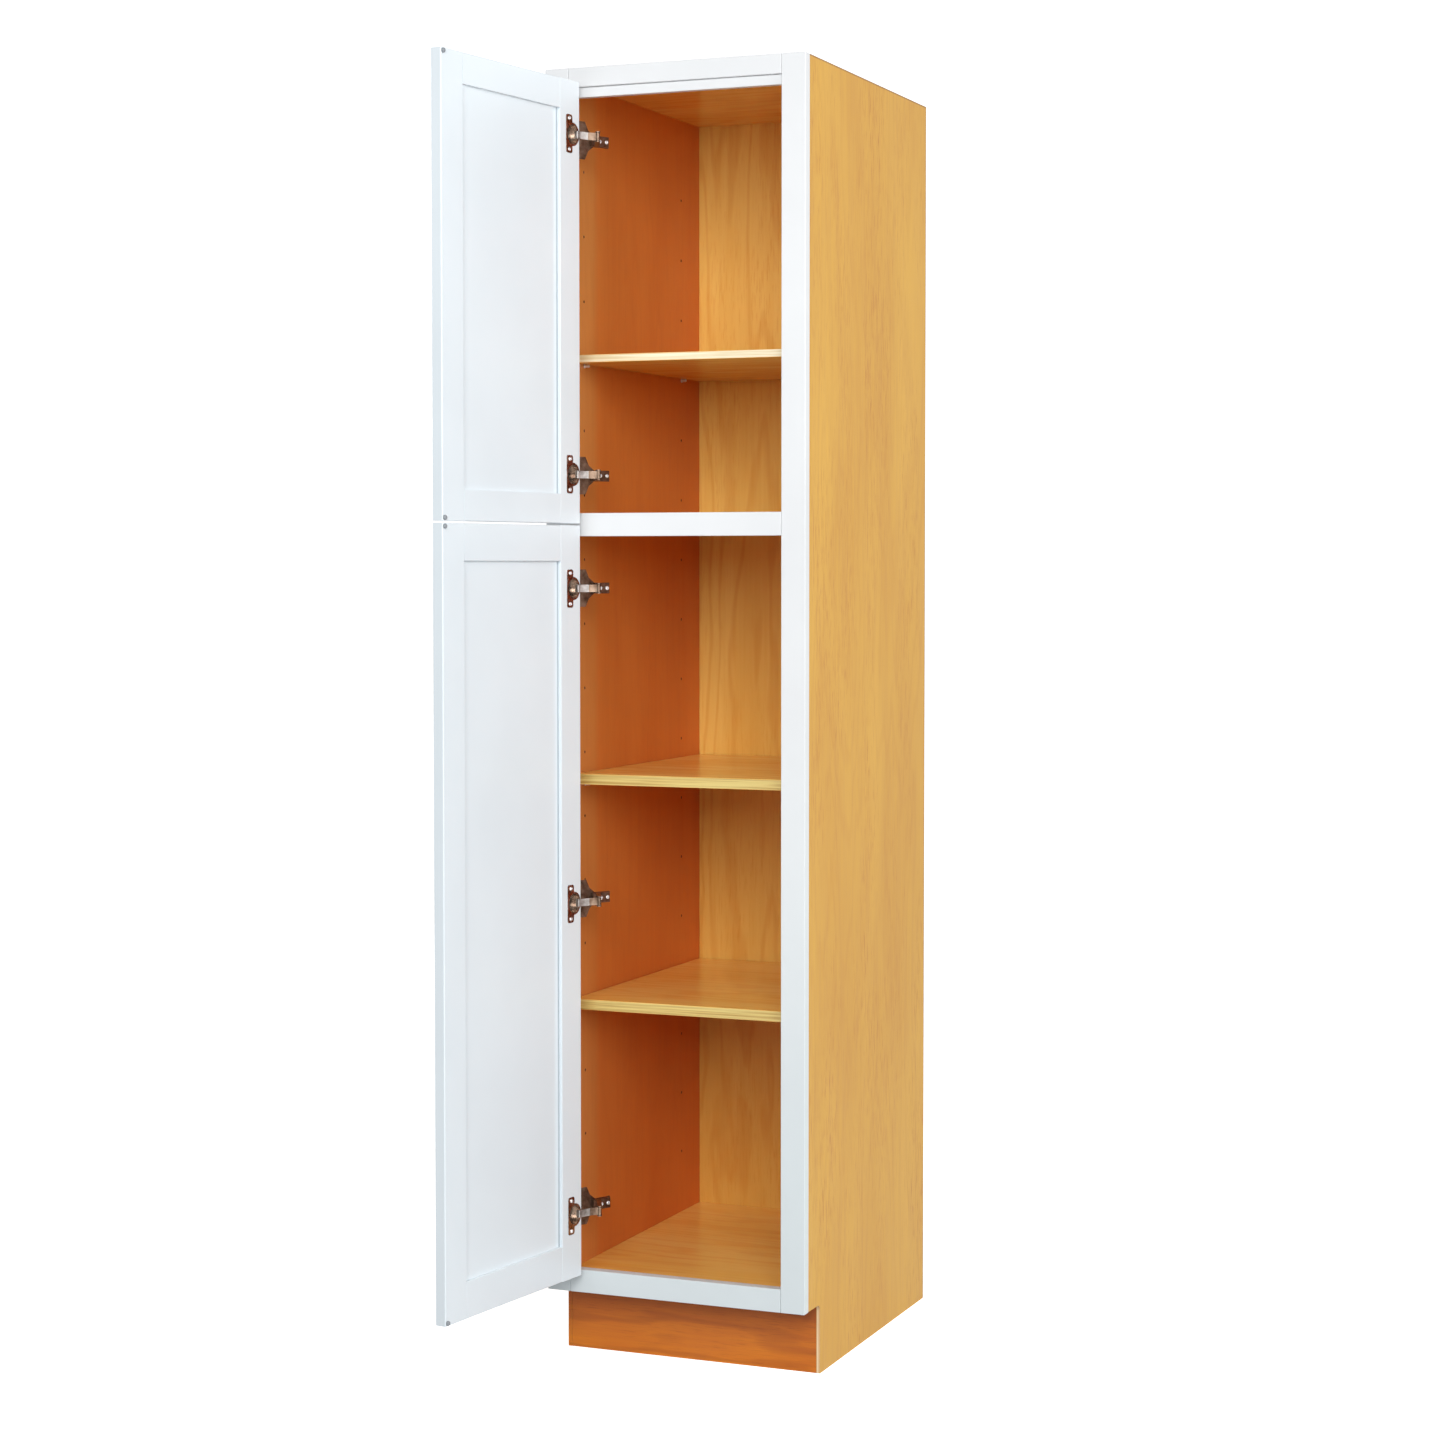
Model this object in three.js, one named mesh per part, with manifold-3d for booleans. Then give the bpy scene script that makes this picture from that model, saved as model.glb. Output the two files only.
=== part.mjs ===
// Tall pantry cabinet with a painted face frame, two shaker doors hung on the left and
// three adjustable shelves. Millimetres, +Z up. Inside the cabinet group X is 0 on the
// centreline, Y is 0 at the face frame's front and grows to the back, Z is 0 at the floor.
import * as THREE from 'three';
import { mergeVertices } from 'three/addons/utils/BufferGeometryUtils.js';
import Module from 'manifold-3d';

const wasm = await Module();
wasm.setup();

// ---------------------------------------------------------------- driving dimensions

const cabinetWidth = 457.2;
const cabinetDepth = 609.6;
const cabinetHeight = 2133.6;
const seam = 0.3; // hairline left between pieces that touch

const frameThick = 19.05;
const frameStileWidth = 41.3;
const topRailWidth = 31.75;
const topStripWidth = 16.5; // the strip under the top rail
const topStripSetback = 6; // how far the strip stands behind the frame's front
const midRailWidth = 38.1;
const midRailCentre = 1387.5;
const bottomRailWidth = 38.1;

const toeHeight = 114.3;
const toeDepth = 76.2;
const toeBoardThick = 12.7;
const toeCornerRadius = 10;
const toeRabbetLip = 6.35; // what is left of a side's thickness outside the toe board's end

const sideThick = 19.05;
const sideReveal = 1.6; // the frame stands this far proud of each side
const panelThick = 12.7;
const backThick = 6.35;
const bottomPanelTop = 139.7;
const deckTop = 1402.7;

const shelfFront = 55;
const shelfSideClearance = 2.1;
const shelfBackClearance = 3;
const shelves = [
  { name: 'shelf_upper', thick: 12.7, pitchesDown: 0 },
  { name: 'shelf_middle', thick: 17.5, pitchesDown: 6.5 },
  { name: 'shelf_lower', thick: 17.5, pitchesDown: 10 },
];

const pinRowTop = 1654.4; // pin centre under the upper shelf
const pinPitch = 108;
const pinHolesAbove = 3;
const pinHolesBelow = 13;
const pinColumns = [105, 520];
const pinHoleRadius = 2.75;
const pinHoleDepth = 10;
const pinRadius = 2.6;
const pinStubRadius = 2.2;
const pinCollarRadius = 3.6;
const pinCollarThick = 1.8;
const pinEase = 0.8;
const pinReach = 10;

const doorThick = 19.05;
const doorOverlay = 4.8;
const doorGap = 3.2; // between the two doors
const doorStandOff = 4; // closed door's inner face to the frame
const doorStileWidth = 57.15;
const doorPanelThick = 6.35;
const grooveDepth = 9.5;
const grooveWidth = 6.75;
const tongueEndClearance = 0.2;
const tongueOverlap = 2; // the tongue runs this far into its rail
const doorEdgeEase = 1;
const openAngle = THREE.MathUtils.degToRad(98);
const bumperRadius = 3.8;
const bumperCrown = 0.4;
const bumperInset = 5;

const cupRadius = 17.3;
const cupDepth = 11.6;
const cupWall = 1.2;
const cupInset = 21.5; // from the door's hinge edge to the cup's centre
const cupBoreRadius = 17.8;
const cupBoreDepth = 12;
const flangeTop = 1;
const wingWidth = 18;
const wingHeight = 62;
const wingOffset = 10; // the wings stand this far beyond the cup's centre
const wingCorner = 4;
const cupRim = 1.7;
const wingHoleEase = 0.4; // the wings stop this far outside the cup's bore

const hingeOffset = new THREE.Vector2(48, -23.5); // door axis, from the frame's outer left edge
const linkPivot = new THREE.Vector2(92, 6.3);
const linkBends = [[79.5, -6], [70.5, -27], [66.3, -26]].map(([x, y]) => new THREE.Vector2(x, y));
const linkThick = 2.4;
const linkWidth = 12;
const linkEyeRadius = 3.4;
const linkPinRadius = 1.6;
const linkPinClearance = 0.5;

const plateFace = frameStileWidth + seam; // where the base's plate meets the stile's inner edge
const plateThick = 2;
const plateHalfHeight = 31;
const armSlope = THREE.MathUtils.degToRad(26);
const armStart = new THREE.Vector2(plateFace + 0.4, 13);
const armLength = 76;
const armHalfHeight = 9;
const channelStart = 36;
const channelDepth = 9;
const forkWidth = 17.2;
const cheekThick = 1.6;
const cheekRadius = 4;
const cheekTail = new THREE.Vector2(69, 52);

const halfWidth = cabinetWidth / 2;
const frameBack = frameThick + seam;
const openingHalf = halfWidth - frameStileWidth;
const openingTop = cabinetHeight - topRailWidth;
const openingBottom = toeHeight + bottomRailWidth;
const midRailTop = midRailCentre + midRailWidth / 2;
const midRailBottom = midRailCentre - midRailWidth / 2;
const sideOuter = halfWidth - sideReveal;
const sideInner = sideOuter - sideThick;
const backFront = cabinetDepth - backThick;
const doorWidth = 2 * openingHalf + 2 * doorOverlay;
const doorHingeEdge = -openingHalf - doorOverlay;

const doors = [
  {
    name: 'upper_door',
    bottom: midRailCentre + doorGap / 2,
    top: openingTop + doorOverlay,
    railWidth: 48,
    hinges: [2020, 1469],
  },
  {
    name: 'lower_door',
    bottom: openingBottom - doorOverlay,
    top: midRailCentre - doorGap / 2,
    railWidth: 58,
    hinges: [1283, 767, 252],
  },
];

// ---------------------------------------------------------------- materials

const whitePaint = new THREE.MeshStandardMaterial({ color: 0xeef1f4, roughness: 0.38 });
const maplePly = new THREE.MeshStandardMaterial({ color: 0xd9a45a, roughness: 0.35 });
const mapleInner = new THREE.MeshStandardMaterial({ color: 0xb8702f, roughness: 0.3 });
const nickel = new THREE.MeshStandardMaterial({ color: 0x8d8378, roughness: 0.28, metalness: 1 });
const brightSteel = new THREE.MeshStandardMaterial({ color: 0xc9cacd, roughness: 0.3, metalness: 1 });
const greyRubber = new THREE.MeshStandardMaterial({ color: 0x8c9296, roughness: 0.7 });

// ---------------------------------------------------------------- shape helpers

// Turns a closed geometry into a solid that can be joined and cut.
function toSolid(geometry) {
  const bare = geometry.clone();
  bare.deleteAttribute('normal');
  bare.deleteAttribute('uv');
  const merged = mergeVertices(bare, 1e-3);
  return new wasm.Manifold(new wasm.Mesh({
    numProp: 3,
    vertProperties: merged.attributes.position.array,
    triVerts: Uint32Array.from(merged.index.array),
  }));
}

function toGeometry(solid) {
  const { vertProperties, triVerts } = solid.getMesh();
  const indexed = new THREE.BufferGeometry();
  indexed.setAttribute('position', new THREE.BufferAttribute(vertProperties, 3));
  indexed.setIndex(new THREE.BufferAttribute(triVerts, 1));
  const faceted = indexed.toNonIndexed();
  faceted.computeVertexNormals();
  return faceted;
}

// A box given by its low and high limits along each axis.
function block([x0, x1], [y0, y1], [z0, z1]) {
  const geometry = new THREE.BoxGeometry(x1 - x0, y1 - y0, z1 - z0);
  return geometry.translate((x0 + x1) / 2, (y0 + y1) / 2, (z0 + z1) / 2);
}

// A cylinder whose axis runs along X, Y or Z through a centre.
function rod(radius, length, axis, centre, sides = 24) {
  const geometry = new THREE.CylinderGeometry(radius, radius, length, sides);
  if (axis === 'x') geometry.rotateZ(Math.PI / 2);
  if (axis === 'z') geometry.rotateX(Math.PI / 2);
  return geometry.translate(...centre);
}

function polygon(points) {
  return new THREE.Shape(points.map(([x, y]) => new THREE.Vector2(x, y)));
}

function roundedRectangle(halfX, halfY, corner) {
  const outline = new THREE.Shape();
  [[1, 1], [-1, 1], [-1, -1], [1, -1]].forEach(([signX, signY], quarter) => {
    const centre = [signX * (halfX - corner), signY * (halfY - corner)];
    outline.absarc(...centre, corner, quarter * Math.PI / 2, (quarter + 1) * Math.PI / 2, false);
  });
  return outline;
}

const extrudeStyle = { bevelEnabled: false, curveSegments: 6 };

// Extrudes a shape drawn in X, Y up to a height.
function extrudeUp(shape, z0, z1) {
  const geometry = new THREE.ExtrudeGeometry(shape, { ...extrudeStyle, depth: z1 - z0 });
  return geometry.translate(0, 0, z0);
}

// Extrudes a shape drawn in Y, Z along X.
function extrudeAlongX(shape, x0, x1) {
  const geometry = new THREE.ExtrudeGeometry(shape, { ...extrudeStyle, depth: x1 - x0 });
  const turn = new THREE.Matrix4().makeBasis(
    new THREE.Vector3(0, 1, 0),
    new THREE.Vector3(0, 0, 1),
    new THREE.Vector3(1, 0, 0),
  );
  return geometry.applyMatrix4(turn).translate(x0, 0, 0);
}

function joined(geometries) {
  return geometries.map(toSolid).reduce((whole, next) => whole.add(next));
}

function cutWith(solid, geometries) {
  return geometries.map(toSolid).reduce((rest, tool) => rest.subtract(tool), solid);
}

function addPiece(group, name, geometry, material) {
  const mesh = new THREE.Mesh(geometry, material);
  mesh.name = name;
  group.add(mesh);
  return mesh;
}

// A flat board: a box mesh placed by its position.
function addBoard(group, name, material, [x0, x1], [y0, y1], [z0, z1]) {
  const mesh = addPiece(group, name, new THREE.BoxGeometry(x1 - x0, y1 - y0, z1 - z0), material);
  mesh.position.set((x0 + x1) / 2, (y0 + y1) / 2, (z0 + z1) / 2);
}

// ---------------------------------------------------------------- face frame and carcass

function addFaceFrame(group) {
  const thick = [0, frameThick];
  const upright = [toeHeight, cabinetHeight];
  const between = [-openingHalf + seam, openingHalf - seam];
  addBoard(group, 'frame_stile_left', whitePaint, [-halfWidth, -openingHalf], thick, upright);
  addBoard(group, 'frame_stile_right', whitePaint, [openingHalf, halfWidth], thick, upright);
  addBoard(group, 'frame_rail_top', whitePaint, between, thick, [openingTop, cabinetHeight]);
  const strip = [openingTop - topStripWidth, openingTop - seam];
  addBoard(group, 'frame_top_strip', whitePaint, between, [topStripSetback, frameThick], strip);
  addBoard(group, 'frame_rail_middle', whitePaint, between, thick, [midRailBottom, midRailTop]);
  addBoard(group, 'frame_rail_bottom', whitePaint, between, thick, [toeHeight, openingBottom]);
}

function pinHeights() {
  const heights = [];
  for (let step = -pinHolesAbove; step <= pinHolesBelow; step += 1) {
    heights.push(pinRowTop - step * pinPitch);
  }
  const between = shelves.map((shelf) => shelf.pitchesDown).filter((steps) => !Number.isInteger(steps));
  between.forEach((steps) => heights.push(pinRowTop - steps * pinPitch));
  return heights;
}

// The side's outline in Y, Z: a rectangle with the toe notch, rounded at its inner corner.
function sideOutline() {
  const outline = new THREE.Shape();
  outline.moveTo(toeDepth, 0);
  outline.lineTo(cabinetDepth, 0);
  outline.lineTo(cabinetDepth, cabinetHeight);
  outline.lineTo(frameBack, cabinetHeight);
  outline.lineTo(frameBack, toeHeight);
  outline.lineTo(toeDepth - toeCornerRadius, toeHeight);
  const corner = toeCornerRadius;
  outline.absarc(toeDepth - corner, toeHeight - corner, corner, Math.PI / 2, 0, true);
  outline.closePath();
  return outline;
}

function addSide(group, name, sign) {
  const limits = [sign * sideInner, sign * sideOuter].sort((a, b) => a - b);
  const panel = toSolid(extrudeAlongX(sideOutline(), ...limits));
  const rabbetLimits = [sign * (sideInner - 1), sign * (sideOuter - toeRabbetLip)].sort((a, b) => a - b);
  const rabbetDepth = [toeDepth - 1, toeDepth + toeBoardThick + seam];
  const rabbet = block(rabbetLimits, rabbetDepth, [-1, bottomPanelTop - panelThick]);
  const holeMiddle = sign * (sideInner + pinHoleDepth / 2 - 0.5);
  const holes = pinHeights().flatMap((z) => pinColumns.map(
    (y) => rod(pinHoleRadius, pinHoleDepth + 1, 'x', [holeMiddle, y, z], 6),
  ));
  addPiece(group, name, toGeometry(cutWith(panel, [rabbet, ...holes])), maplePly);
}

function addCarcass(group) {
  addSide(group, 'side_left', -1);
  addSide(group, 'side_right', 1);
  const across = [-sideInner + seam, sideInner - seam];
  const inside = [frameBack, backFront - seam];
  const toeAcross = sideOuter - toeRabbetLip - seam;
  addBoard(group, 'bottom_panel', mapleInner, across, inside, [bottomPanelTop - panelThick, bottomPanelTop]);
  addBoard(group, 'top_panel', mapleInner, across, inside, [cabinetHeight - panelThick, cabinetHeight]);
  addBoard(group, 'fixed_deck', mapleInner, across, inside, [deckTop - panelThick, deckTop]);
  addBoard(group, 'back_panel', mapleInner, across, [backFront, cabinetDepth], [toeHeight, cabinetHeight]);
  addBoard(
    group, 'toe_board', mapleInner, [-toeAcross, toeAcross],
    [toeDepth, toeDepth + toeBoardThick], [0, bottomPanelTop - panelThick - seam],
  );
}

// ---------------------------------------------------------------- shelves and their pins

// Stub in the hole, collar on the side's face, peg under the shelf.
function pinGeometry(sign) {
  const stub = pinHoleDepth - 1;
  const profile = [
    [0, -stub], [pinStubRadius, -stub], [pinStubRadius, seam], [pinCollarRadius, seam],
    [pinCollarRadius, pinCollarThick], [pinRadius, pinCollarThick],
    [pinRadius, pinReach - pinEase], [pinRadius - pinEase, pinReach], [0, pinReach],
  ].map(([radius, along]) => new THREE.Vector2(radius, along));
  return new THREE.LatheGeometry(profile, 8).rotateZ(sign * Math.PI / 2);
}

function addShelves(group) {
  shelves.forEach(({ name, thick, pitchesDown }) => {
    const pinZ = pinRowTop - pitchesDown * pinPitch;
    const underside = pinZ + pinRadius + seam;
    const halfShelf = sideInner - shelfSideClearance;
    addBoard(
      group, name, mapleInner, [-halfShelf, halfShelf],
      [shelfFront, backFront - shelfBackClearance], [underside, underside + thick],
    );
    [['left', -1], ['right', 1]].forEach(([hand, sign]) => {
      pinColumns.forEach((y, index) => {
        const place = index === 0 ? 'front' : 'rear';
        const pin = addPiece(group, `${name}_pin_${hand}_${place}`, pinGeometry(sign), brightSteel);
        pin.position.set(sign * sideInner, y, pinZ);
      });
    });
  });
}

// ---------------------------------------------------------------- doors
// A door is drawn closed: X runs from its hinge edge, Y is 0 at its inner face and
// negative towards the front, Z is the cabinet's own height.

const grooveFront = -doorThick / 2 - grooveWidth / 2;
const grooveBack = -doorThick / 2 + grooveWidth / 2;

// A stile's section in X, Y, with eased outer corners and the panel groove on its inner edge.
function stileSection() {
  return polygon([
    [doorEdgeEase, -doorThick], [doorStileWidth, -doorThick],
    [doorStileWidth, grooveFront], [doorStileWidth - grooveDepth, grooveFront],
    [doorStileWidth - grooveDepth, grooveBack], [doorStileWidth, grooveBack],
    [doorStileWidth, 0], [doorEdgeEase, 0],
    [0, -doorEdgeEase], [0, -doorThick + doorEdgeEase],
  ]);
}

function hingeStile(door) {
  const stile = toSolid(extrudeUp(stileSection(), door.bottom, door.top));
  const boreMiddle = 0.5 - cupBoreDepth / 2;
  const bores = door.hinges.map((z) => rod(cupBoreRadius, cupBoreDepth + 1, 'y', [cupInset, boreMiddle, z]));
  return toGeometry(cutWith(stile, bores));
}

// The free stile is the hinge stile's section turned end for end about the door's middle.
function freeStile(door) {
  const geometry = extrudeUp(stileSection(), -door.top, -door.bottom);
  return geometry.rotateY(Math.PI).translate(doorWidth, 0, 0);
}

// A rail's section in Y, Z; the groove faces the door's middle. The tongues fill the stiles' grooves.
function doorRail(door, isTop) {
  const away = isTop ? -1 : 1;
  const outer = isTop ? door.top : door.bottom;
  const at = (distance) => outer + away * distance;
  const section = polygon([
    [-doorThick, at(doorEdgeEase)], [-doorThick, at(door.railWidth)],
    [grooveFront, at(door.railWidth)], [grooveFront, at(door.railWidth - grooveDepth)],
    [grooveBack, at(door.railWidth - grooveDepth)], [grooveBack, at(door.railWidth)],
    [0, at(door.railWidth)], [0, at(doorEdgeEase)],
    [-doorEdgeEase, outer], [-doorThick + doorEdgeEase, outer],
  ]);
  const start = doorStileWidth + seam;
  const end = doorWidth - doorStileWidth - seam;
  const rail = extrudeAlongX(section, start, end);
  const tongueHeight = [at(doorEdgeEase), at(door.railWidth - grooveDepth - 1)].sort((a, b) => a - b);
  const tongueThick = [grooveFront + seam, grooveBack - seam];
  const tongueLength = grooveDepth - tongueEndClearance;
  return toGeometry(joined([
    rail,
    block([start - tongueLength, start + tongueOverlap], tongueThick, tongueHeight),
    block([end - tongueOverlap, end + tongueLength], tongueThick, tongueHeight),
  ]));
}

function bumperGeometry() {
  const thick = doorStandOff - seam;
  const profile = [
    [0, seam], [bumperRadius, seam], [bumperRadius, thick - 3 * bumperCrown],
    [bumperRadius - 2 * bumperCrown, thick - bumperCrown], [0, thick],
  ].map(([radius, along]) => new THREE.Vector2(radius, along));
  return new THREE.LatheGeometry(profile, 16);
}

function addDoor(group, door) {
  const reach = grooveDepth - seam;
  const thin = doorThick / 2;
  addPiece(group, `${door.name}_stile_hinge`, hingeStile(door), whitePaint);
  addPiece(group, `${door.name}_stile_free`, freeStile(door), whitePaint);
  addPiece(group, `${door.name}_rail_top`, doorRail(door, true), whitePaint);
  addPiece(group, `${door.name}_rail_bottom`, doorRail(door, false), whitePaint);
  addBoard(
    group, `${door.name}_panel`, whitePaint,
    [doorStileWidth - reach, doorWidth - doorStileWidth + reach],
    [-thin - doorPanelThick / 2, -thin + doorPanelThick / 2],
    [door.bottom + door.railWidth - reach, door.top - door.railWidth + reach],
  );
  [['top', door.top - bumperInset], ['bottom', door.bottom + bumperInset]].forEach(([place, z]) => {
    const bumper = addPiece(group, `${door.name}_bumper_${place}`, bumperGeometry(), greyRubber);
    bumper.position.set(doorWidth - bumperInset, 0, z);
  });
}

// ---------------------------------------------------------------- hinges

// Cup with its rim flange and two screw wings, axis along Y, open at +Y.
function cupGeometry() {
  const inner = cupRadius - cupWall;
  const rim = cupRadius + cupRim;
  const shell = new THREE.LatheGeometry([
    [0, -cupDepth], [cupRadius, -cupDepth], [cupRadius, seam], [rim, seam], [rim, flangeTop],
    [inner, flangeTop], [inner, cupWall - cupDepth], [0, cupWall - cupDepth],
  ].map(([radius, along]) => new THREE.Vector2(radius, along)), 24);
  const wings = roundedRectangle(wingWidth / 2, wingHeight / 2, wingCorner);
  const plate = extrudeUp(wings, -flangeTop, -seam).rotateX(Math.PI / 2).translate(wingOffset, 0, 0);
  const trimmed = cutWith(toSolid(plate), [rod(inner + wingHoleEase, 4 * flangeTop, 'y', [0, 0, 0])]);
  return toGeometry(toSolid(shell).add(trimmed));
}

// The base: a plate screwed to the stile's inner edge, a fan that carries the arm back and
// away from the side, and a fork with a pin for the link. Drawn with Z 0 at the hinge's middle
// and X from the frame's outer left edge.
function fanAndArm() {
  const upperEdge = [
    [armLength, armHalfHeight], [44, armHalfHeight], [33, 17], [26, plateHalfHeight], [0, plateHalfHeight],
  ];
  const lowerEdge = upperEdge.map(([along, height]) => [along, -height]).reverse();
  const plate = extrudeAlongX(polygon([...lowerEdge, ...upperEdge]), 0, plateThick);
  const channel = block([0.5, channelDepth], [channelStart, armLength - 5], [-forkWidth / 2, forkWidth / 2]);
  return [plate, channel].map((geometry) => geometry.rotateZ(-armSlope).translate(armStart.x, armStart.y, 0));
}

// One cheek of the fork, from the link's pin back into the arm.
function cheek(z0, z1) {
  const run = cheekTail.clone().sub(linkPivot);
  const angle = run.angle();
  const outline = new THREE.Shape();
  outline.absarc(linkPivot.x, linkPivot.y, cheekRadius, angle + Math.PI / 2, angle + 1.5 * Math.PI, false);
  outline.absarc(cheekTail.x, cheekTail.y, cheekRadius, angle - Math.PI / 2, angle + Math.PI / 2, false);
  return extrudeUp(outline, z0, z1);
}

function baseGeometry() {
  const outer = forkWidth / 2;
  return toGeometry(joined([
    block([plateFace, plateFace + plateThick], [1.5, 17], [-plateHalfHeight, plateHalfHeight]),
    ...fanAndArm(),
    cheek(-outer, cheekThick - outer),
    cheek(outer - cheekThick, outer),
    rod(linkPinRadius, forkWidth - 0.4, 'z', [linkPivot.x, linkPivot.y, 0], 12),
  ]));
}

// The link: an eye around the pin and a bent strip that reaches over the door's edge into the cup.
function linkGeometry() {
  const route = [linkPivot, ...linkBends];
  const half = linkThick / 2;
  const strips = route.slice(1).map((end, index) => {
    const start = route[index];
    const run = end.clone().sub(start);
    const strip = polygon([[0, -half], [run.length(), -half], [run.length(), half], [0, half]]);
    const flat = extrudeUp(strip, -linkWidth / 2, linkWidth / 2);
    return flat.rotateZ(run.angle()).translate(start.x, start.y, 0);
  });
  const bends = linkBends.map((bend) => rod(half, linkWidth, 'z', [bend.x, bend.y, 0], 12));
  const eye = rod(linkEyeRadius, linkWidth, 'z', [linkPivot.x, linkPivot.y, 0], 16);
  const bore = rod(linkPinRadius + linkPinClearance, linkWidth + 2, 'z', [linkPivot.x, linkPivot.y, 0], 16);
  return toGeometry(cutWith(joined([...strips, ...bends, eye]), [bore]));
}

function addHinges(cabinetGroup, doorGroup, door) {
  door.hinges.forEach((z, index) => {
    const label = `${door.name}_hinge_${index + 1}`;
    const cup = addPiece(doorGroup, `${label}_cup`, cupGeometry(), nickel);
    cup.position.set(cupInset, 0, z);
    const base = addPiece(cabinetGroup, `${label}_base`, baseGeometry(), nickel);
    base.position.set(-halfWidth, 0, z);
    const link = addPiece(cabinetGroup, `${label}_link`, linkGeometry(), brightSteel);
    link.position.set(-halfWidth, 0, z);
  });
}

// ---------------------------------------------------------------- assembly

const cabinet = new THREE.Group();
cabinet.position.y = -(toeDepth + toeBoardThick / 2); // origin under the middle of the toe board
addFaceFrame(cabinet);
addCarcass(cabinet);
addShelves(cabinet);

doors.forEach((door) => {
  const axis = new THREE.Group();
  axis.position.set(hingeOffset.x - halfWidth, hingeOffset.y, 0);
  axis.rotation.z = -openAngle;
  cabinet.add(axis);
  const leaf = new THREE.Group();
  leaf.position.set(doorHingeEdge - axis.position.x, -doorStandOff - axis.position.y, 0);
  axis.add(leaf);
  addDoor(leaf, door);
  addHinges(cabinet, leaf, door);
});

const pantryCabinet = new THREE.Group();
pantryCabinet.add(cabinet);

export default pantryCabinet;
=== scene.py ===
"""Looks of a tall pantry cabinet: white painted face frame and shaker doors, varnished maple inside."""
import math

import bmesh
import bpy
from mathutils import Matrix, Vector


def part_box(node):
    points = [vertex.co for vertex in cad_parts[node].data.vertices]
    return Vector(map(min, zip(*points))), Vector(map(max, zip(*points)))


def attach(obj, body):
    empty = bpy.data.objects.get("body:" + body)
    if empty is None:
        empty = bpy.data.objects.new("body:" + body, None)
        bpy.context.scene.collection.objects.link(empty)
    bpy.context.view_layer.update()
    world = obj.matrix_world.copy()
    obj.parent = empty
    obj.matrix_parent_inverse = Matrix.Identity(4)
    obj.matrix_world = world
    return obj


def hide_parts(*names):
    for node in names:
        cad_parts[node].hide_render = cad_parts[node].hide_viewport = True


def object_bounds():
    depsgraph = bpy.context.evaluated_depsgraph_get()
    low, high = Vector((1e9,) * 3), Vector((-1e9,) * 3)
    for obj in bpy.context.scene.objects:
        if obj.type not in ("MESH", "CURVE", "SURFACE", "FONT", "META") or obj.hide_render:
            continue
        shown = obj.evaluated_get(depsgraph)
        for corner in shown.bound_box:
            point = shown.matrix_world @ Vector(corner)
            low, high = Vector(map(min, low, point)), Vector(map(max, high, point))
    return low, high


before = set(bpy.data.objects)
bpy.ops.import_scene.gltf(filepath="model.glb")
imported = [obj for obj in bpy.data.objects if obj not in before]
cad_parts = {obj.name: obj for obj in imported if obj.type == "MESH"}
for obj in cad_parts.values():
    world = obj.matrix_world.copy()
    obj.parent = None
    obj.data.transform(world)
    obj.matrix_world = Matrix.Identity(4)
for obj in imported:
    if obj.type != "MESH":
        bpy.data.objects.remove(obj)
CAD_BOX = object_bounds()
NODES = sorted(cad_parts)
TOE_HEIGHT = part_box("frame_rail_bottom")[0].z
STILE_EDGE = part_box("lower_door_stile_hinge")[0].y

# ---------------------------------------------------------------- named values, metres

CAMERA_PLACE = Vector((1.872, -4.437, 1.323))
CAMERA_YAW = math.radians(22.3)
CAMERA_PITCH = math.radians(-2.26)
CAMERA_LENS = 72.7  # millimetres
CAMERA_SENSOR = 36  # millimetres wide
CAMERA_SHIFT_Y = -0.030
CAMERA_REACH = 60

EDGE_EASE_PAINT = 0.0011
EDGE_EASE_WOOD = 0.0006
EDGE_EASE_METAL = 0.00025
EASE_SEGMENTS = 3
SAME_POINT = 1e-6
COPLANAR_ANGLE = math.radians(0.6)
SHARP_ANGLE = math.radians(28)  # an edge that turns more than this is rounded over
CREASE_ANGLE = math.radians(35)  # an edge that turns more than this is shaded sharp
SHORT_EDGE = 0.0075  # edges shorter than this stay as they are
FACING = 0.7  # a face looks along an axis when its normal's part along it is above this

PLY_LAYER = 0.0026
PLY_WANDER = 0.0009  # how far a ply strays from straight
EDGE_DARK_WIDTH = 0.0035  # the dark line along the sides' top and back edges
SEAM_LINE = 0.0030  # the shadow line where a door's panel meets its hinge stile
HOLE_RADIUS = 0.0029  # a shelf pin's hole, with a little to spare
RING_TURNS = 95  # how tightly the maple's cathedral lines are packed

BACKDROP_GLOW = 0.78
BACKDROP_RADIUS = 9.0
BACKDROP_HEIGHT = 8.0
BACKDROP_BEND = 3.0
BACKDROP_BEND_STEPS = 24
BACKDROP_SIDES = 96
LIGHT_AIM = Vector((0, 0.1, 1.1))
AIR_COLOUR = (0.96, 0.98, 1.0, 1)
AIR_STRENGTH = 0.34

SCREW_RADIUS = 0.0034
SCREW_HEIGHT = 0.0018
SCREW_CROWN = ((1.0, 0.0), (1.0, 0.0006), (0.86, 0.0013), (0.55, 0.0017))  # share of radius, height
SCREW_SIDES = 20
CROSS_ARM = 0.55 * SCREW_RADIUS
CROSS_WIDTH = 0.32 * CROSS_ARM  # half of a blade's width
CROSS_DEPTH = 0.0009

OPEN_ANGLE = math.radians(98)  # how far the doors stand open at rest
WING_OFFSET = 0.0100  # a cup's screw wings sit this far beyond its centre
WING_SCREW = 0.025  # a wing's screw, above or below the cup's middle
ARM_SLOPE = math.radians(26)
ARM_START = Vector((0.0004, 0.0115, 0))  # from the base's low corner
ARM_FACE = 0.009  # from the arm's back to its channel's outer face
ARM_SCREWS = (0.052, 0.066)  # along the arm
LINK_SHADE_FROM = -0.0930  # a link is bright in front of this plane and in painted shade behind it

BLACK = (0, 0, 0)
WHITE = (1, 1, 1)
DOORS = {"upper_door": 2, "lower_door": 3}  # hinges on each
SHELVES = ("shelf_upper", "shelf_middle", "shelf_lower")


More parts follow.
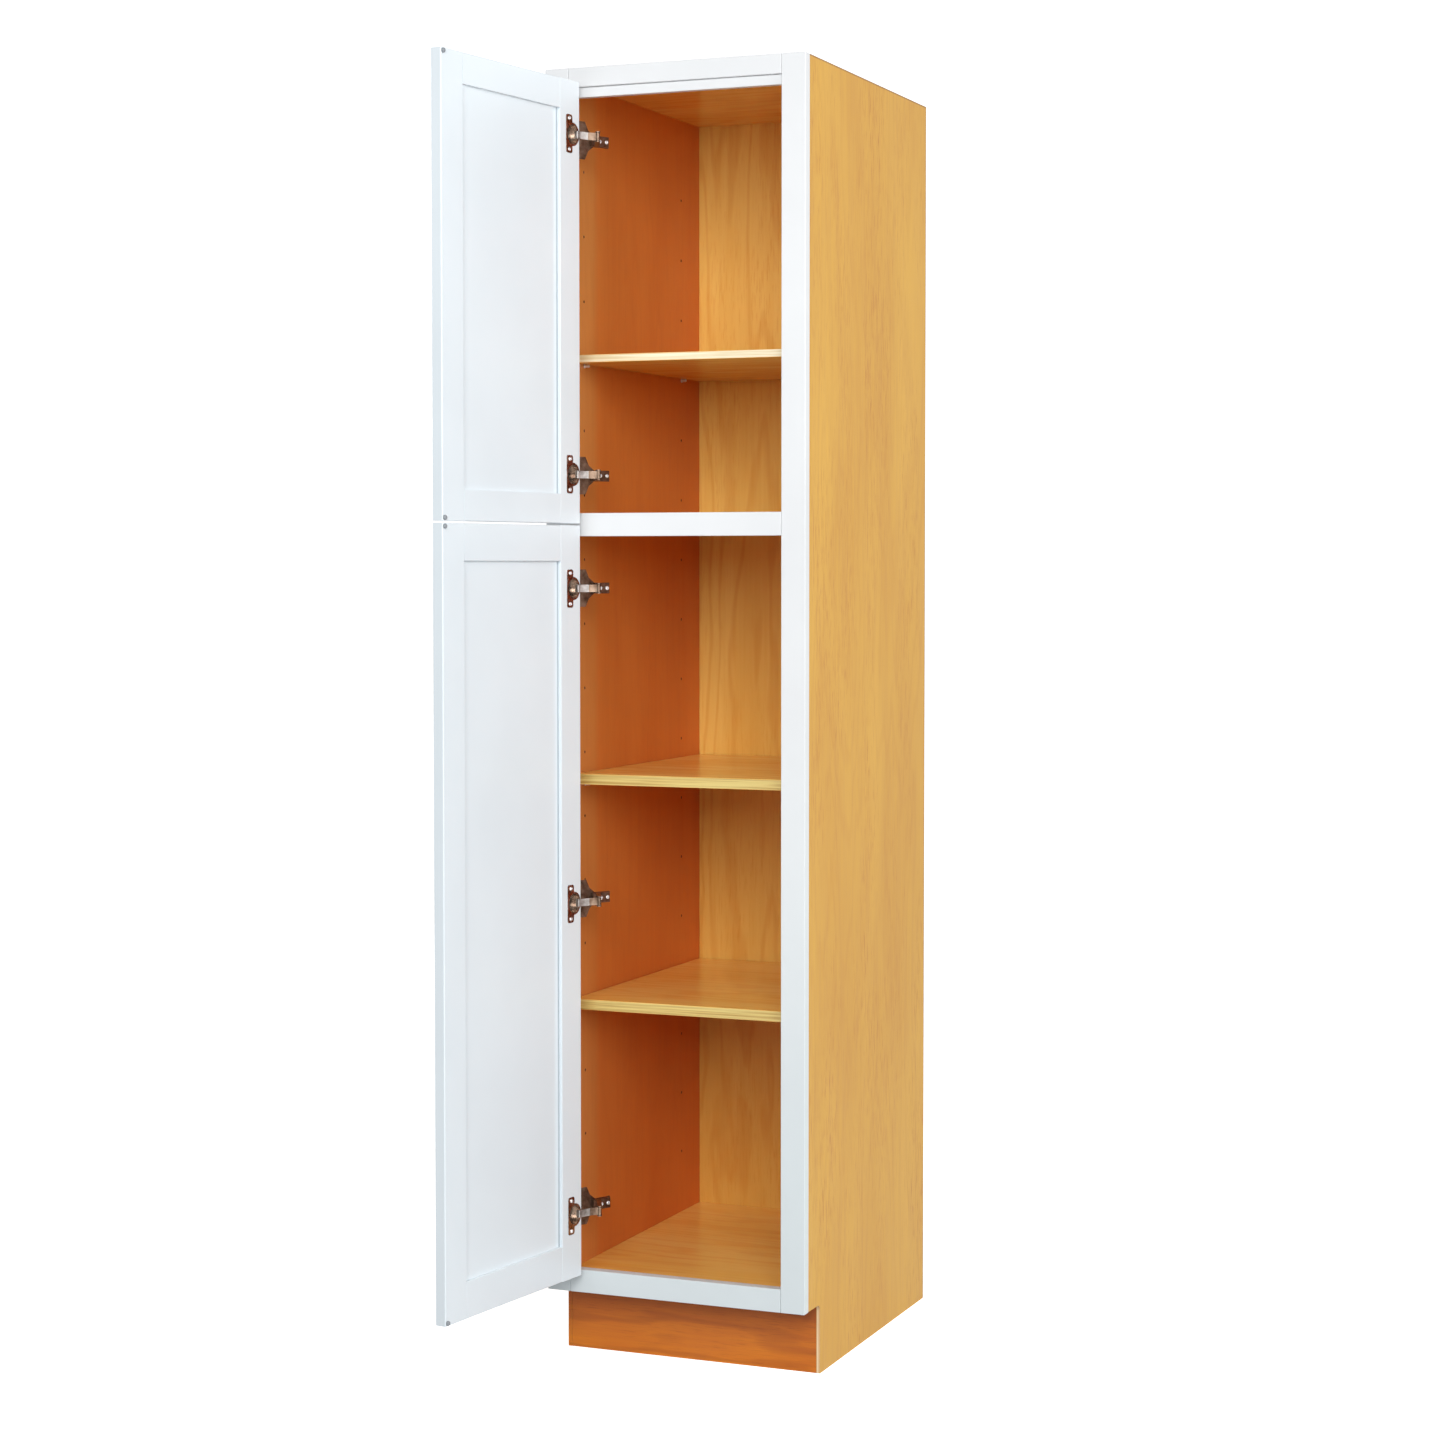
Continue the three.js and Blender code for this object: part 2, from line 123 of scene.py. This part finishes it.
# ---------------------------------------------------------------- material helpers

class Nodes:
    """A material's node tree, with short calls for the nodes used here."""

    def __init__(self, name):
        self.material = bpy.data.materials.new(name)
        self.material.use_nodes = True
        self.tree = self.material.node_tree
        self.shader = self.tree.nodes["Principled BSDF"]

    def link(self, source, target):
        self.tree.links.new(source, target)

    def add(self, kind, **values):
        node = self.tree.nodes.new(kind)
        for key, value in values.items():
            setattr(node, key, value)
        return node

    def place(self, scale=(1, 1, 1), offset=(0, 0, 0)):
        """Places on the piece, scaled and shifted."""
        source = self.add("ShaderNodeTexCoord")
        mapping = self.add("ShaderNodeMapping")
        mapping.inputs["Scale"].default_value = scale
        mapping.inputs["Location"].default_value = offset
        self.link(source.outputs["Object"], mapping.inputs["Vector"])
        return mapping.outputs["Vector"]

    def distance_along(self, axis):
        """The place along one axis."""
        source = self.add("ShaderNodeTexCoord")
        split = self.add("ShaderNodeSeparateXYZ")
        self.link(source.outputs["Object"], split.inputs[0])
        return split.outputs[axis.upper()]

    def noise(self, vector, scale, detail, roughness=0.55, distortion=0.0):
        node = self.add("ShaderNodeTexNoise")
        node.inputs["Scale"].default_value = scale
        node.inputs["Detail"].default_value = detail
        node.inputs["Roughness"].default_value = roughness
        node.inputs["Distortion"].default_value = distortion
        self.link(vector, node.inputs["Vector"])
        return node.outputs["Fac"]

    def math(self, operation, a, b=0.0):
        node = self.add("ShaderNodeMath", operation=operation)
        for index, value in enumerate((a, b)):
            if isinstance(value, (int, float)):
                node.inputs[index].default_value = value
            else:
                self.link(value, node.inputs[index])
        return node.outputs[0]

    def ramp(self, value, stops):
        node = self.add("ShaderNodeValToRGB")
        elements = node.color_ramp.elements
        while len(elements) < len(stops):
            elements.new(0.5)
        for element, (position, colour) in zip(elements, stops):
            element.position = position
            element.color = (*colour, 1.0)
        self.link(value, node.inputs["Fac"])
        return node.outputs["Color"]

    def mix(self, factor, a, b, blend="MIX"):
        node = self.add("ShaderNodeMix", data_type="RGBA", blend_type=blend)
        sockets = {"Factor": factor, "A": a, "B": b}
        for socket in node.inputs:
            if socket.name in sockets and socket.enabled:
                value = sockets[socket.name]
                if isinstance(value, (int, float)):
                    socket.default_value = value
                elif isinstance(value, tuple):
                    socket.default_value = (*value, 1.0)
                else:
                    self.link(value, socket)
        return next(out for out in node.outputs if out.enabled)

    def spread(self, value, low, high):
        """A value from 0 to 1, brought between low and high."""
        node = self.add("ShaderNodeMapRange")
        node.inputs["To Min"].default_value = low
        node.inputs["To Max"].default_value = high
        self.link(value, node.inputs["Value"])
        return node.outputs["Result"]

    def blend(self, a, b, share):
        """One value plus a share of another."""
        return self.math("ADD", a, self.math("MULTIPLY", b, share))

    def base_colour(self, colour):
        self.link(colour, self.shader.inputs["Base Color"])

    def roughness(self, value, low, high):
        self.link(self.spread(value, low, high), self.shader.inputs["Roughness"])

    def bump(self, height, strength, distance):
        node = self.add("ShaderNodeBump")
        node.inputs["Strength"].default_value = strength
        node.inputs["Distance"].default_value = distance
        self.link(height, node.inputs["Height"])
        self.link(node.outputs["Normal"], self.shader.inputs["Normal"])

    def set(self, **values):
        for key, value in values.items():
            self.shader.inputs[key.replace("_", " ")].default_value = value


def linear(red, green, blue):
    """A display colour, 0 to 255, as the linear values that shaders take."""
    def channel(value):
        value /= 255
        return value / 12.92 if value <= 0.04045 else ((value + 0.055) / 1.055) ** 2.4
    return channel(red), channel(green), channel(blue)


def along_grain(axis, along, across):
    """Texture scale with one value along the grain's axis and another across it."""
    return tuple(along if letter == axis else across for letter in "xyz")


# ---------------------------------------------------------------- materials

def fade_along(n, colour, axis, tint, start, end):
    """Tints a colour at the start of a range along an axis, and leaves it alone from the end on."""
    span = n.add("ShaderNodeMapRange")
    span.inputs["From Min"].default_value = start
    span.inputs["From Max"].default_value = end
    n.link(n.distance_along(axis), span.inputs["Value"])
    tinting = n.mix(span.outputs["Result"], tint, WHITE)
    return n.mix(1.0, colour, tinting, "MULTIPLY")


def white_paint(name, shade, light, fades=()):
    """Sprayed satin lacquer: faint orange peel, faint grain telegraphing, soft colour drift."""
    n = Nodes(name)
    drift = n.noise(n.place(), 3.2, 3)
    colour = n.ramp(drift, [(0.3, shade), (0.7, light)])
    for fade in fades:
        colour = fade_along(n, colour, *fade)
    n.base_colour(colour)
    n.roughness(n.noise(n.place(), 22, 5), 0.30, 0.42)
    peel = n.noise(n.place(), 620, 2)
    grain = n.noise(n.place((300, 300, 9)), 1, 3)
    n.bump(n.blend(grain, peel, 0.5), 0.07, 0.0004)
    n.set(Coat_Weight=0.12, Coat_Roughness=0.22)
    return n.material


def maple(name, axis, colours, gloss, coat=0.0, offset=(0, 0, 0), figure=1.0, flecks=1.0, fades=()):
    """Varnished maple: soft clouds, faint cathedral lines, and short flecks that gather in patches."""
    n = Nodes(name)
    light, dark, fleck = colours

    def texture(along, across, scale, detail, roughness=0.55, distortion=0.0):
        place = n.place(along_grain(axis, along, across), offset)
        return n.noise(place, scale, detail, roughness, distortion)

    cloud = texture(1.1, 3.4, 1.6, 4, 0.5, 0.4)
    streaks = texture(3.4, 120, 1, 4, 0.6, 0.3)
    tone = n.blend(n.math("MULTIPLY", cloud, 0.72), streaks, 0.28)
    colour = n.ramp(tone, [(0.36, dark), (0.66, light)])
    growth = texture(0.75, 5.2, 1, 4, 0.45, 0.2)
    rings = n.math("SINE", n.math("MULTIPLY", growth, RING_TURNS))
    lines = n.math("MULTIPLY", n.ramp(rings, [(0.30, BLACK), (1.0, WHITE)]), 0.13 * figure)
    colour = n.mix(lines, colour, fleck)
    gather = texture(1.5, 7, 1.4, 3)
    patches = n.ramp(gather, [(0.40, (0.1, 0.1, 0.1)), (0.64, WHITE)])
    short = texture(30, 460, 1, 3)
    marks = n.math("MULTIPLY", n.ramp(short, [(0.53, BLACK), (0.68, WHITE)]), patches)
    colour = n.mix(n.math("MULTIPLY", marks, 0.6 * flecks), colour, fleck)
    for fade in fades:
        colour = fade_along(n, colour, *fade)
    n.base_colour(colour)
    n.roughness(streaks, gloss - 0.04, gloss + 0.08)
    n.bump(n.blend(short, streaks, 0.4), 0.04, 0.0002)
    n.set(Coat_Weight=coat, Coat_Roughness=0.2, Specular_IOR_Level=0.35)
    return n.material


def plywood_edge(name, axis, pale, brown):
    """Stacked plies seen edge-on, layered along the board's thickness."""
    n = Nodes(name)
    wander = n.noise(n.place((9, 9, 9)), 1, 3)
    depth = n.blend(n.distance_along(axis), wander, PLY_WANDER)
    layer = n.math("PINGPONG", depth, PLY_LAYER)
    plies = n.ramp(n.math("DIVIDE", layer, PLY_LAYER), [(0.38, pale), (0.62, brown)])
    fibre = n.noise(n.place((260, 260, 22)), 1, 3)
    n.base_colour(n.mix(n.math("MULTIPLY", fibre, 0.4), plies, brown))
    n.roughness(fibre, 0.5, 0.7)
    n.bump(fibre, 0.3, 0.0004)
    return n.material


def edge_band(name, colour, deep):
    """Thin wood banding, or bare wood in a hole, darkened there as painted shade: long fine streaks under a
    satin varnish.
    """
    n = Nodes(name)
    streaks = n.noise(n.place((5, 300, 420)), 1, 4)
    n.base_colour(n.ramp(streaks, [(0.35, deep), (0.6, colour)]))
    n.roughness(streaks, 0.34, 0.46)
    n.bump(streaks, 0.08, 0.0002)
    return n.material


def plated_steel(name, light, dark, low, high):
    """Pressed plated steel: fine brushed lines, smudges and darker hollows."""
    n = Nodes(name)
    smudge = n.noise(n.place(), 85, 4)
    n.base_colour(n.ramp(smudge, [(0.3, dark), (0.65, light)]))
    lines = n.noise(n.place((900, 900, 60)), 1, 2)
    n.roughness(n.blend(n.math("MULTIPLY", smudge, 0.6), lines, 0.4), low, high)
    n.bump(lines, 0.08, 0.0001)
    n.set(Metallic=1.0)
    return n.material


def soft_bumper():
    """Grey soft plastic with a fine matt grain."""
    n = Nodes("soft_bumper")
    grain = n.noise(n.place(), 1400, 3)
    n.base_colour(n.ramp(grain, [(0.3, linear(118, 124, 130)), (0.7, linear(150, 156, 161))]))
    n.roughness(grain, 0.45, 0.65)
    n.bump(grain, 0.2, 0.0001)
    return n.material


def studio_floor():
    """Pale matt floor and wall, with a faint cloud and a glow of its own."""
    n = Nodes("studio_floor")
    cloud = n.noise(n.place(), 0.8, 3)
    n.base_colour(n.ramp(cloud, [(0.3, (0.86, 0.86, 0.86)), (0.7, (0.88, 0.88, 0.88))]))
    n.roughness(cloud, 0.55, 0.65)
    n.set(Emission_Color=(1, 1, 1, 1), Emission_Strength=BACKDROP_GLOW)
    return n.material


DOOR_WHITES = (0.71, 0.775, 0.815), (0.76, 0.825, 0.865)
# The frame's white turns darker and bluer from 1.1 m down to 0.3 m: painted shade.
FRAME_PAINT = white_paint("frame_paint", (0.725, 0.735, 0.745), (0.775, 0.785, 0.79),
                          [("z", (0.87, 0.93, 0.94), 0.30, 1.1)])
DOOR_PAINT = white_paint("door_paint", *DOOR_WHITES)
PANEL_PAINT = white_paint("panel_paint", *DOOR_WHITES,
                          [("y", (0.58, 0.60, 0.62), STILE_EDGE - SEAM_LINE / 2, STILE_EDGE - SEAM_LINE)])

EDGE_DARK_TINT = (0.30, 0.19, 0.12)
SIDE_OUT = maple(
    "maple_outside", "z", (linear(220, 168, 58), linear(207, 151, 46), linear(180, 104, 12)),
    gloss=0.5, figure=0.8, flecks=1.2,
    # darker along the side's top and back edges
    fades=[("z", EDGE_DARK_TINT, CAD_BOX[1].z, CAD_BOX[1].z - EDGE_DARK_WIDTH),
           ("y", EDGE_DARK_TINT, CAD_BOX[1].y, CAD_BOX[1].y - EDGE_DARK_WIDTH)])
BACK_OUT = maple(
    "maple_back_outside", "z", (linear(220, 170, 76), linear(206, 152, 60), linear(176, 118, 44)),
    gloss=0.55, offset=(0.5, 0, 3), figure=0.9, flecks=0.8)
# Redder and darker than the inner back and boards: painted shade and painted bounce light.
WALL_IN = maple(
    "maple_wall_inside", "z", (linear(240, 158, 80), linear(230, 142, 66), linear(206, 110, 44)),
    gloss=0.44, coat=0.08, offset=(0.3, 0, 1), figure=0.5, flecks=0.35,
    # painted shade towards the back and the bottom, and a painted lit strip at the front
    fades=[("y", (0.94, 0.76, 0.56), 0.30, -0.05),
           ("z", (0.92, 0.76, 0.72), 0.2, 1.8),
           ("y", (0.93, 1.10, 1.35), 0.060, 0.082)])
# The inner back turns darker and redder from 1.6 m down to 0.1 m: painted shade.
BACK_IN = maple(
    "maple_back_inside", "z", (linear(250, 216, 116), linear(238, 192, 90), linear(216, 138, 34)),
    gloss=0.36, coat=0.15, offset=(0.7, 0, 2), figure=2.0, flecks=0.6,
    fades=[("z", (0.80, 0.66, 0.54), 0.1, 1.6)])
BOARD_IN = maple(
    "maple_boards_inside", "x", (linear(255, 216, 122), linear(248, 192, 90), linear(226, 136, 34)),
    gloss=0.22, coat=0.30, offset=(0, 0.4, 0.2), figure=2.0, flecks=0.6)
# The toe board turns darker towards its top, under the cabinet: painted shade.
TOE_WOOD = maple(
    "maple_toe_board", "x", (linear(230, 138, 12), linear(202, 104, 8), linear(142, 60, 4)),
    gloss=0.6, figure=2.6, flecks=0.9,
    fades=[("z", (0.56, 0.38, 0.32), 0.125, 0.0)])
PLY_X = plywood_edge("ply_edge_across", "x", linear(246, 218, 174), linear(216, 172, 118))
PLY_Z = plywood_edge("ply_edge_up", "z", linear(240, 206, 156), linear(206, 158, 102))
BAND_YELLOW = edge_band("band_yellow", linear(226, 202, 124), linear(188, 150, 74))
BAND_CREAM = edge_band("band_cream", linear(248, 236, 206), linear(226, 202, 150))
# Bare wood in the shelf-pin holes, darkened as painted shade.
DRILLED_SHADED = edge_band("drilled_wood_painted_shade", linear(112, 62, 30), linear(78, 42, 22))

NICKEL = plated_steel("nickel", linear(196, 182, 170), linear(134, 116, 104), 0.18, 0.36)
# Darker, rougher nickel for hinge bases and links' eye ends deep in the cabinet: painted shade.
NICKEL_DULL_SHADED = plated_steel("nickel_dull_painted_shade", linear(136, 116, 100), linear(82, 64, 52), 0.30, 0.48)
BRIGHT = plated_steel("bright_steel", linear(238, 239, 241), linear(204, 206, 209), 0.32, 0.5)
LINK_STEEL = plated_steel("link_steel", linear(176, 174, 172), linear(116, 113, 110), 0.28, 0.46)
BUMPER = soft_bumper()


# ---------------------------------------------------------------- mesh helpers

def mesh_object(name, mesh_data, materials):
    """A new object in the scene with its materials."""
    piece = bpy.data.objects.new(name, mesh_data)
    bpy.context.collection.objects.link(piece)
    for material in materials:
        piece.data.materials.append(material)
    return piece


def eased_copy(node, name, ease, materials, choose=None):
    """A detailed piece with a CAD node's exact shape, its long sharp edges rounded over.

    choose takes a face's centre and normal, and gives the place of its material in the list.
    """
    bm = bmesh.new()
    bm.from_mesh(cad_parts[node].data)
    bmesh.ops.remove_doubles(bm, verts=bm.verts, dist=SAME_POINT)
    bmesh.ops.dissolve_limit(bm, angle_limit=COPLANAR_ANGLE, verts=bm.verts, edges=bm.edges)
    bm.normal_update()
    if choose:
        for face in bm.faces:
            face.material_index = choose(face.calc_center_median(), face.normal)
    sharp = [
        edge for edge in bm.edges
        if edge.is_manifold and edge.calc_face_angle() > SHARP_ANGLE and edge.calc_length() > SHORT_EDGE
    ]
    bmesh.ops.bevel(
        bm, geom=sharp, offset=ease, segments=EASE_SEGMENTS, profile=0.5, affect="EDGES", clamp_overlap=True)
    for face in bm.faces:
        face.smooth = True
    data = bpy.data.meshes.new(name)
    bm.to_mesh(data)
    bm.free()
    piece = mesh_object(name, data, materials)
    data.set_sharp_from_angle(angle=CREASE_ANGLE)
    shading = piece.modifiers.new("flat_faces_stay_flat", "WEIGHTED_NORMAL")
    shading.keep_sharp = True
    return piece


def stand_for(piece, node, body, slot):
    """Puts a piece on its body in place of a CAD node. slot is not used."""
    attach(piece, body)
    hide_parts(node)


def lathe(name, profile, steps, materials):
    """A turned shape about Z from (radius, height) points, closed where they start or end on it."""
    bm = bmesh.new()
    rings = []
    for radius, height in profile:
        if radius == 0:
            rings.append([bm.verts.new((0, 0, height))])
            continue
        turn = [2 * math.pi * step / steps for step in range(steps)]
        rings.append([bm.verts.new((radius * math.cos(a), radius * math.sin(a), height)) for a in turn])
    for lower, upper in zip(rings, rings[1:]):
        for step in range(steps):
            after = (step + 1) % steps
            if len(lower) == 1:
                bm.faces.new((lower[0], upper[after], upper[step]))
            elif len(upper) == 1:
                bm.faces.new((lower[step], lower[after], upper[0]))
            else:
                bm.faces.new((lower[step], lower[after], upper[after], upper[step]))
    bmesh.ops.recalc_face_normals(bm, faces=bm.faces)
    for face in bm.faces:
        face.smooth = True
    data = bpy.data.meshes.new(name)
    bm.to_mesh(data)
    bm.free()
    return mesh_object(name, data, materials)


# ---------------------------------------------------------------- cabinet pieces

def frame_and_doors():
    """Painted wood: face frame and door pieces, each with softened edges."""
    for node in NODES:
        if node.startswith("frame_"):
            piece = eased_copy(node, f"{node}_painted", EDGE_EASE_PAINT, [FRAME_PAINT])
            stand_for(piece, node, "carcass", "white_paint")
    for door in DOORS:
        for part in ("stile_hinge", "stile_free", "rail_top", "rail_bottom", "panel"):
            node = f"{door}_{part}"
            paint = PANEL_PAINT if part == "panel" else DOOR_PAINT
            piece = eased_copy(node, f"{node}_painted", EDGE_EASE_PAINT, [paint])
            stand_for(piece, node, door, "white_paint")


def side_material(centre, normal, inward, inner_face, hole_columns):
    """Picks one of a side's five materials for a face. inward is the sign of X towards the middle."""
    veneer, wall, plies, hole, toe = range(5)
    in_column = min(abs(centre.y - column) for column in hole_columns) < HOLE_RADIUS
    if normal.x * inward > FACING:
        floor_of_hole = in_column and abs(centre.x) > inner_face + HOLE_RADIUS
        return hole if floor_of_hole else wall
    if normal.x * inward < -FACING:
        return veneer
    if inward > 0 and normal.y < -FACING and centre.z < TOE_HEIGHT:
        return toe  # the left side's edge in the toe space matches the toe board
    return hole if in_column else plies


def sides():
    """Side panels: veneer outside, a redder maple inside darkened by painted shade with a painted lit strip
    at the front, plies on the cut edges, bare drilled holes darkened by painted shade.
    """
    hole_columns = []
    for place in ("front", "rear"):
        low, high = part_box(f"shelf_upper_pin_left_{place}")
        hole_columns.append((low.y + high.y) / 2)
    for node, inward in (("side_left", 1), ("side_right", -1)):
        low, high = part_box(node)
        inner_face = min(abs(low.x), abs(high.x))
        materials = [SIDE_OUT, WALL_IN, PLY_X, DRILLED_SHADED, TOE_WOOD]

        def choose(centre, normal, inward=inward, inner_face=inner_face):
            return side_material(centre, normal, inward, inner_face, hole_columns)

        piece = eased_copy(node, f"{node}_veneered", EDGE_EASE_WOOD, materials, choose)
        stand_for(piece, node, "carcass", "maple_veneer")


def inner_boards():
    """Top, bottom, deck, back and toe board."""
    for node in ("top_panel", "bottom_panel", "fixed_deck"):
        piece = eased_copy(node, f"{node}_veneered", EDGE_EASE_WOOD, [BOARD_IN, PLY_Z],
                           lambda centre, normal: 0 if abs(normal.z) > FACING else 1)
        stand_for(piece, node, "carcass", "maple_interior")
    back = eased_copy("back_panel", "back_panel_veneered", EDGE_EASE_WOOD, [BACK_IN, BACK_OUT],
                      lambda centre, normal: 0 if normal.y < -FACING else 1)
    stand_for(back, "back_panel", "carcass", "maple_interior")
    toe = eased_copy("toe_board", "toe_board_veneered", EDGE_EASE_WOOD, [TOE_WOOD, PLY_X],
                     lambda centre, normal: 0 if abs(normal.y) > FACING else 1)
    stand_for(toe, "toe_board", "carcass", "toe_board_ply")


def shelf_material(centre, normal):
    """Picks the band for a shelf's front, the veneer for its faces and the plies for the rest."""
    veneer, band, plies = range(3)
    if normal.y < -FACING:
        return band
    return veneer if abs(normal.z) > FACING else plies


def shelves():
    """Shelves with a pale banded front edge, on bright pins."""
    for node in SHELVES:
        band = BAND_CREAM if node == "shelf_upper" else BAND_YELLOW
        materials = [BOARD_IN, band, PLY_Z]
        piece = eased_copy(node, f"{node}_veneered", EDGE_EASE_WOOD, materials, shelf_material)
        stand_for(piece, node, "carcass", "shelf_board")
    for node in NODES:
        if "_pin_" in node:
            piece = eased_copy(node, f"{node}_turned", EDGE_EASE_METAL, [BRIGHT])
            stand_for(piece, node, "carcass", "bright_steel")


# ---------------------------------------------------------------- hinges and bumpers

def cross_cutter():
    """Two crossed blades, joined, that sink into a screw head."""
    bm = bmesh.new()
    arm = CROSS_ARM
    width = CROSS_WIDTH
    outline = [
        (arm, -width), (arm, width), (width, width), (width, arm), (-width, arm), (-width, width),
        (-arm, width), (-arm, -width), (-width, -width), (-width, -arm), (width, -arm), (width, -width),
    ]
    base = [bm.verts.new((x, y, SCREW_HEIGHT - CROSS_DEPTH)) for x, y in outline]
    face = bm.faces.new(base)
    lifted = bmesh.ops.extrude_face_region(bm, geom=[face])
    risen = [item for item in lifted["geom"] if isinstance(item, bmesh.types.BMVert)]
    bmesh.ops.translate(bm, verts=risen, vec=(0, 0, 3 * CROSS_DEPTH))
    bmesh.ops.recalc_face_normals(bm, faces=bm.faces)
    data = bpy.data.meshes.new("cross_cutter")
    bm.to_mesh(data)
    bm.free()
    return mesh_object("cross_cutter", data, [])


def screw_head(name, place, outward, body):
    """A pan-head screw with a cross recess, its head standing on a plate."""
    crown = [(share * SCREW_RADIUS, height) for share, height in SCREW_CROWN]
    head = lathe(name, [(0, 0.0), *crown, (0, SCREW_HEIGHT)], SCREW_SIDES, [BRIGHT])
    cutter = cross_cutter()
    cut = head.modifiers.new("cross", "BOOLEAN")
    cut.operation = "DIFFERENCE"
    cut.solver = "EXACT"
    cut.object = cutter
    bpy.context.view_layer.update()
    data = bpy.data.meshes.new_from_object(head.evaluated_get(bpy.context.evaluated_depsgraph_get()))
    head.modifiers.clear()
    head.data = data
    bpy.data.objects.remove(cutter)
    turn = Vector(outward).to_track_quat("Z", "Y").to_matrix().to_4x4()
    head.data.transform(Matrix.Translation(place) @ turn)
    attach(head, body)


def cup_screws(label, door):
    """A screw in each wing of a hinge cup, on the open door's inner face."""
    run = Vector((math.cos(OPEN_ANGLE), -math.sin(OPEN_ANGLE), 0))
    facing = Vector((math.sin(OPEN_ANGLE), math.cos(OPEN_ANGLE), 0))
    points = [vertex.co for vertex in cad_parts[f"{label}_cup"].data.vertices]
    along = [point.dot(run) for point in points]
    outward = [point.dot(facing) for point in points]
    heights = [point.z for point in points]
    middle = (min(along) + max(along)) / 2 + WING_OFFSET
    level = (min(heights) + max(heights)) / 2
    for place, rise in (("upper", WING_SCREW), ("lower", -WING_SCREW)):
        head = run * middle + facing * max(outward) + Vector((0, 0, level + rise))
        screw_head(f"{label}_cup_screw_{place}", head, facing, door)


def arm_screws(label):
    """The two adjusting screws on a hinge arm."""
    low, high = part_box(f"{label}_base")
    along = Vector((math.sin(ARM_SLOPE), math.cos(ARM_SLOPE), 0))
    facing = Vector((math.cos(ARM_SLOPE), -math.sin(ARM_SLOPE), 0))
    start = low + ARM_START
    start.z = (low.z + high.z) / 2
    for index, distance in enumerate(ARM_SCREWS):
        head = start + along * distance + facing * ARM_FACE
        screw_head(f"{label}_arm_screw_{index + 1}", head, facing, "carcass")


def eye_end(centre, normal):
    """Picks the darker nickel, painted shade, for a link's eye end, which lies deeper in the cabinet."""
    return 1 if centre.y > LINK_SHADE_FROM else 0


def hinge(label, door):
    """One concealed hinge: cup, base and link, with the screws of its cup and arm."""
    for part, body, materials, slot, choose in (
        ("cup", door, [NICKEL], "nickel", None),
        ("base", "carcass", [NICKEL_DULL_SHADED], "nickel", None),
        ("link", door.replace("_door", "_links"), [LINK_STEEL, NICKEL_DULL_SHADED], "bright_steel", eye_end),
    ):
        node = f"{label}_{part}"
        piece = eased_copy(node, f"{node}_pressed", EDGE_EASE_METAL, materials, choose)
        stand_for(piece, node, body, slot)
    cup_screws(label, door)
    arm_screws(label)


def hinges():
    """Every door's hinges."""
    for door, count in DOORS.items():
        for index in range(1, count + 1):
            hinge(f"{door}_hinge_{index}", door)


def bumpers():
    """Soft bumpers at the doors' free corners."""
    for node in NODES:
        if "_bumper_" in node:
            piece = eased_copy(node, f"{node}_soft", EDGE_EASE_METAL, [BUMPER])
            stand_for(piece, node, node.split("_bumper_")[0], "grey_bumper")


# ---------------------------------------------------------------- studio

def camera():
    """Stands to the right of the cabinet's front, a little above its middle."""
    data = bpy.data.cameras.new("view")
    data.lens = CAMERA_LENS
    data.sensor_width = CAMERA_SENSOR
    data.shift_y = CAMERA_SHIFT_Y
    data.clip_end = CAMERA_REACH
    view = bpy.data.objects.new("view", data)
    bpy.context.collection.objects.link(view)
    view.location = CAMERA_PLACE
    view.rotation_euler = (math.pi / 2 + CAMERA_PITCH, 0, CAMERA_YAW)
    bpy.context.scene.camera = view


def studio():
    """A round pale floor that curves up into a wall all the way round."""
    profile = [(0.0, 0.0)]
    for step in range(BACKDROP_BEND_STEPS + 1):
        angle = math.pi / 2 * step / BACKDROP_BEND_STEPS
        out = BACKDROP_RADIUS - BACKDROP_BEND + BACKDROP_BEND * math.sin(angle)
        profile.append((out, BACKDROP_BEND - BACKDROP_BEND * math.cos(angle)))
    profile.append((BACKDROP_RADIUS, BACKDROP_HEIGHT))
    backdrop = lathe("studio_floor", profile, BACKDROP_SIDES, [studio_floor()])
    backdrop.visible_diffuse = False  # so its glow stays off the cabinet's lower parts


def area_light(name, place, aim, size, power):
    """A soft rectangular light at a place, turned towards its aim."""
    data = bpy.data.lights.new(name, "AREA")
    data.shape = "RECTANGLE"
    data.size, data.size_y = size
    data.energy = power
    light = bpy.data.objects.new(name, data)
    bpy.context.collection.objects.link(light)
    light.location = place
    light.rotation_euler = (aim - Vector(place)).to_track_quat("-Z", "Y").to_euler()


def lights():
    """A front key, a wash on the right side, a fill from behind on the left, and soft air all round."""
    area_light("key_front", (1.6, -4.5, 2.75), LIGHT_AIM + Vector((0, 0, 0.05)), (3.0, 2.4), power=185)
    area_light("side_wash", (4.4, -0.9, 1.9), LIGHT_AIM + Vector((0.1, 0, 0)), (2.2, 2.8), power=104)
    area_light("rear_fill", (-4.4, 2.6, 2.6), LIGHT_AIM, (2.4, 2.4), power=64)
    world = bpy.data.worlds.new("studio_air")
    world.use_nodes = True
    air = world.node_tree.nodes["Background"]
    air.inputs["Color"].default_value = AIR_COLOUR
    air.inputs["Strength"].default_value = AIR_STRENGTH
    bpy.context.scene.world = world
    bpy.context.scene.view_settings.view_transform = "Standard"


# ---------------------------------------------------------------- build

camera()
studio()
lights()
frame_and_doors()
sides()
inner_boards()
shelves()
hinges()
bumpers()
